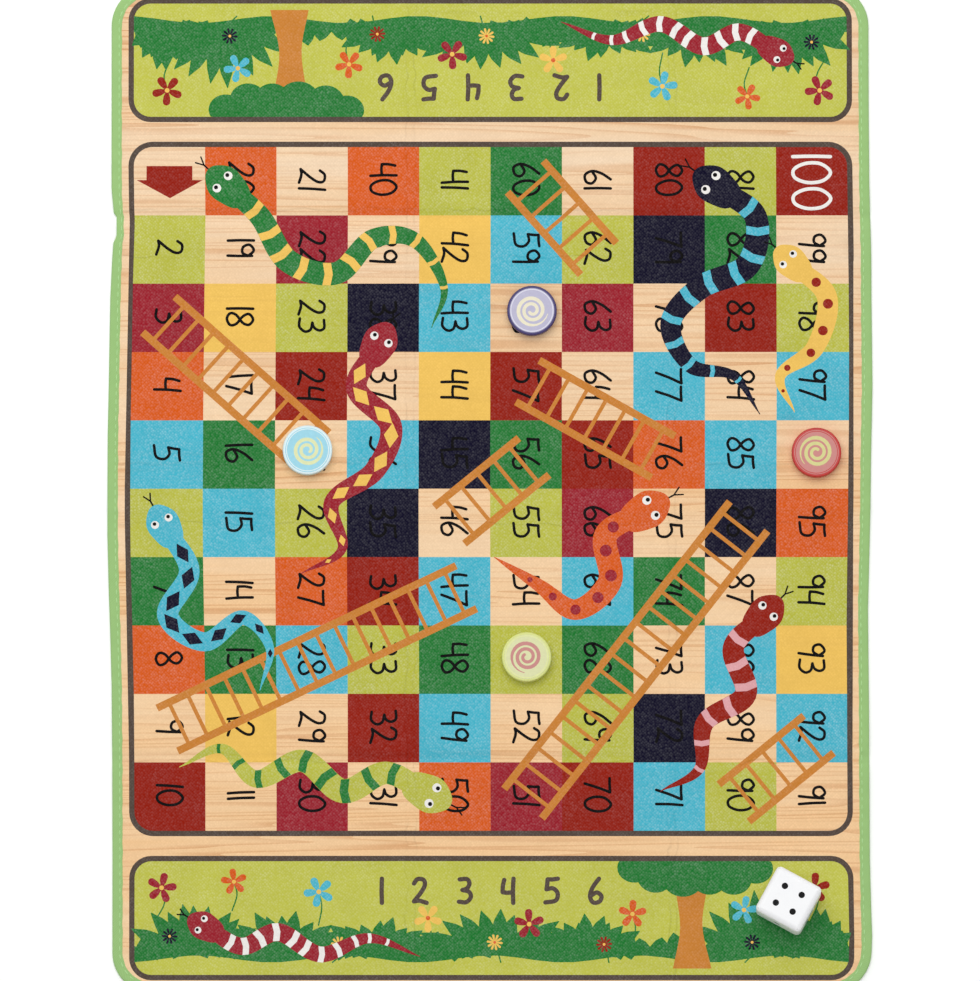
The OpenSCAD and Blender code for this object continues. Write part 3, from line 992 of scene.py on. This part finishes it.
for upper, half in halves:
    edge, inwards = edgeRun(upper, 0, tape["step"])
    along = lengthsAlong(edge)
    points, places = [], []
    for (x, y), (nx, ny), s in zip(edge, inwards, along):
        ripple = tape["pucker"] * math.sin(s * 2 * math.pi / tape["puckerPitch"])
        ripple += tape["tremor"][0] * math.sin(s * tape["tremor"][1])
        sag = tape["sag"] * math.sin(s * tape["sagTurns"][0]) * math.sin(s * tape["sagTurns"][1])
        for d, z in profile:
            lip = sag if d > 9 else 0
            crown = ripple * (0.8 if z > 2.9 and d < 9 else 0)
            points.append(((x + nx * (d + lip)) * mm, (y + ny * (d + lip)) * mm, (z + crown * 0.5) * mm))
            places.append((s * mm, (d if z > 1.6 else -d) * mm, 0))
    ring = len(profile)
    faces = []
    for k in range(0, (len(edge) - 1) * ring, ring):
        faces += [(k + j, k + (j + 1) % ring, k + ring + (j + 1) % ring, k + ring + j) for j in range(ring)]
    faces += [tuple(range(ring))[::-1], tuple((len(edge) - 1) * ring + j for j in range(ring))]
    piece = newPiece("edge_binding_" + half, layDown(points), faces, [tapeCloth], sharpAngle=60)
    keepFlatPlace(piece, places)
    bindingPieces.append(piece)

    seam = edgeRun(upper, tape["seam"], tape["step"])[0][1:-1]  # half a stitch short of the mat's middle
    guide = bpy.data.meshes.new("seamGuide")
    seamPoints = [(x * mm, y * mm, stitch["height"] * mm) for x, y in seam]
    guide.from_pydata(seamPoints, [(k, k + 1) for k in range(len(seam) - 1)], [])
    holder = bpy.data.objects.new("seamGuide", guide)
    scene.collection.objects.link(holder)
    sewing = holder.modifiers.new("edgeStitching", "NODES")
    sewing.node_group = stitching
    for identifier, value in stitchInputs.items():
        sewing[identifier] = value
    sewnMesh = bpy.data.meshes.new_from_object(holder.evaluated_get(bpy.context.evaluated_depsgraph_get()))
    bpy.data.objects.remove(holder)
    flat = np.zeros(len(sewnMesh.vertices) * 3)
    sewnMesh.vertices.foreach_get("co", flat)
    sewnMesh.vertices.foreach_set("co", layDown(flat.reshape(-1, 3)).ravel())
    sewnMesh.name = "edge_stitches_" + half
    sewnMesh.update()
    piece = bpy.data.objects.new("edge_stitches_" + half, sewnMesh)
    scene.collection.objects.link(piece)
    stitchPieces.append(piece)
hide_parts("binding_left", "binding_right", "binding_top")
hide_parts("binding_bottom")
for k, (upper, half) in enumerate(halves):
    for piece in (clothPieces[k], backingPieces[k], bindingPieces[k], stitchPieces[k]):
        bendWithFold(piece)
stitchPoints = stitch["segments"] * (stitch["rings"] - 1) + 2
print("edge bound and sewn,", sum(len(p.data.vertices) for p in stitchPieces) // stitchPoints, "stitches")


# the counters

counters = {
    "purple": {
        "paint": "#372D66", "label": "#BDBAD2", "ring": "#E2E0EE", "motif": "#EDE6CB", "turns": 2.9,
        "start": 0.4},
    "blue": {
        "paint": "#DDF0F3", "label": "#9FD8E9", "ring": "#E6F5F7", "motif": "#E2E7B4", "turns": 2.8,
        "start": 2.2},
    "red": {
        "paint": "#BE2B26", "label": "#CE8984", "ring": "#C24B46", "motif": "#D9D590", "turns": 3.0,
        "start": 3.9},
    "yellow": {
        "paint": "#D9DF88", "label": "#DFE1AE", "ring": "#E6EBA0", "motif": "#CB8B86", "turns": 2.9,
        "start": 5.2},
}
# the label's print, in shares of its radius: rim, ring, and a coil with its pen
labelPrint = {
    "rounds": (1, 0.965, 0.925), "roundSteps": 72, "coilPitch": 0.25, "coilStart": 0.55, "coilSteps": 60,
    "penAt": (0, 0.85, 1), "pen": (0.14, 0.17, 0.03),
}
# sprayed enamel on turned beech: even, half gloss, a trace of the grain
enamel = {"Roughness": 0.42, "Specular IOR Level": 0.35, "Coat Weight": 0.12, "Coat Roughness": 0.3}
# coated label paper: smooth, faint fibre mottling, a satin varnish
varnish = {"Roughness": 0.5, "Specular IOR Level": 0.25}
for colourName, look in counters.items():
    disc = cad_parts["disc_" + colourName]
    paint = linear(look["paint"])
    tones = (toned(paint, 0.88), toned(paint, 1.1))
    beech = mottledFinish(
        "enamelled_" + colourName + "_beech", tones, ((14, 1.4, 1.4), 3), (0.25, 0.05), enamel)
    for place in disc.material_slots:
        place.material = beech
    low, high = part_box("face_" + colourName)
    centre = np.array([(low.x + high.x) / 2, (low.y + high.y) / 2]) / mm
    radius = (high.x - low.x) / 2 / mm
    turns = np.linspace(labelPrint["coilStart"], look["turns"], labelPrint["coilSteps"])
    angles = 2 * math.pi * turns + look["start"]
    out = radius * labelPrint["coilPitch"] * turns
    coil = np.column_stack([out * np.cos(angles), out * np.sin(angles)])
    along = np.linspace(0, 1, labelPrint["coilSteps"])
    pen = np.interp(along, labelPrint["penAt"], [radius * share for share in labelPrint["pen"]])
    drawn = [
        oval(0, 0, radius * share, radius * share, labelPrint["roundSteps"])
        for share in labelPrint["rounds"]]
    drawn.append(ribbon(coil, pen))
    flatLabel, labelFaces = triangulate(drawn, [], [], sliver=1e-7)
    middles = flatLabel[labelFaces].mean(1)
    inkAt = np.zeros(len(labelFaces), np.int32)
    for outline, paper in zip(drawn[1:], (1, 0, 2)):
        inkAt[insideOutline(middles, outline)] = paper
    papers = []
    for part in ("label", "ring", "motif"):
        tones = (toned(linear(look[part]), 0.87), toned(linear(look[part]), 1.12))
        name, grain = "label_" + colourName + "_" + part, ((3.5, 3.5, 3.5), 5)
        papers.append(mottledFinish(name, tones, grain, (0.15, 0.04), varnish, noiseRoughness=0.7))
    flat = (flatLabel + centre) * mm
    label = closedSheet(
        "label_" + colourName, flat, labelFaces, high.z, low.z, papers, inkAt, 0, deform=False)
    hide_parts("face_" + colourName)
    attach(label, colourName + "_counter")
print("counters labelled")


# the die

dieLook = {"white": "#FEFEFF", "warm": "#F7F8FA", "pip": "#060607", "pipWorn": "#101012"}
# turned wood under white satin lacquer: bright and smooth, a breath of cloudiness where it was sanded
lacquer = {"Roughness": 0.38, "Specular IOR Level": 0.4, "Coat Weight": 0.1, "Coat Roughness": 0.25}
whiteTones = (linear(dieLook["warm"]), linear(dieLook["white"]))
whiteLacquer = mottledFinish(
    "whiteLacqueredWood", whiteTones, ((11, 11, 11), 4), (0.12, 0.05), lacquer,
    reliefGrain=((0.8, 0.8, 0.8), 2))
# black paint pooled in the drilled pips: satin, slightly uneven
pipTones = (linear(dieLook["pip"]), linear(dieLook["pipWorn"]))
pipPaint = mottledFinish(
    "blackPipPaint", pipTones, ((2.2, 2.2, 2.2), 3), (0.3, 0.1),
    {"Roughness": 0.6, "Specular IOR Level": 0.12})
for nodeName, material in (("die_body", whiteLacquer), ("die_pips", pipPaint)):
    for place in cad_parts[nodeName].material_slots:
        place.material = material
print("die finished")


# floor, world and lamps

studio = {
    "floorSize": 8.0, "floor": "#FFFFFF", "floorDust": "#FCFCFC", "floorDrop": 0.3 * mm, "dust": 6.0,
    "floorGlow": 0.12, "world": 0.42,
    # wide soft light from above
    "overheadPower": 1.33, "overheadAngle": 55.0, "overheadFrom": (-0.04, 0.22, 1.0),
    "keyPower": 6.2, "keySize": 2.0, "keyFrom": (-0.3, 0.95, 1.3),  # softbox beyond the mat's far end
}


def seenByEye(tree):
    # 1 for what the eye sees, straight or in a reflection
    seen = addNode(tree, "LightPath").outputs
    mirrored = addNode(tree, "Math", {0: seen["Is Camera Ray"], 1: seen["Is Glossy Ray"]}, operation="ADD")
    return addNode(tree, "Math", {0: mirrored, 1: seen["Is Transmission Ray"]}, operation="ADD")


floorMaterial, tree = newMaterial("paleStudioFloor")
place = addNode(tree, "TexCoord").outputs["Object"]
dust = addNode(tree, "TexNoise", {"Vector": place, "Scale": studio["dust"], "Detail": 3})
tone = addNode(
    tree, "Mix", {0: dust, 6: linear(studio["floorDust"]), 7: linear(studio["floor"])}, data_type="RGBA")
# the floor is white out to its far end
glow = addNode(tree, "Math", {0: seenByEye(tree), 1: studio["floorGlow"]}, operation="MULTIPLY")
finishMaterial(tree, {
    "Base Color": tone, "Roughness": 0.9, "Specular IOR Level": 0.1,
    "Emission Color": (1, 1, 1, 1), "Emission Strength": glow,
})
reach = studio["floorSize"] / 2
corners = [(x * reach, y * reach, -studio["floorDrop"]) for x, y in ((-1, -1), (1, -1), (1, 1), (-1, 1))]
floor = newPiece("studio_floor", corners, [(0, 1, 2, 3)], [floorMaterial])

world = bpy.data.worlds.new("softStudio")
world.use_nodes = True
level = addNode(world.node_tree, "MapRange", {
    "Value": seenByEye(world.node_tree), "To Min": studio["world"], "To Max": 1})
sky = world.node_tree.nodes["Background"]
sky.inputs["Color"].default_value = (1, 1, 1, 1)
world.node_tree.links.new(level.outputs[0], sky.inputs["Strength"])
scene.world = world
key = bpy.data.lights.new("keySoftbox", "AREA")
key.energy, key.shape, key.size = studio["keyPower"], "DISK", studio["keySize"]
keyObject = bpy.data.objects.new("keySoftbox", key)
keyObject.location = studio["keyFrom"]
keyObject.rotation_euler = (-Vector(studio["keyFrom"])).to_track_quat("-Z", "Y").to_euler()
scene.collection.objects.link(keyObject)
overhead = bpy.data.lights.new("overheadLight", "SUN")
overhead.energy, overhead.angle = studio["overheadPower"], math.radians(studio["overheadAngle"])
overheadObject = bpy.data.objects.new("overheadLight", overhead)
overheadObject.rotation_euler = (-Vector(studio["overheadFrom"])).to_track_quat("-Z", "Y").to_euler()
scene.collection.objects.link(overheadObject)
print("studio lit")
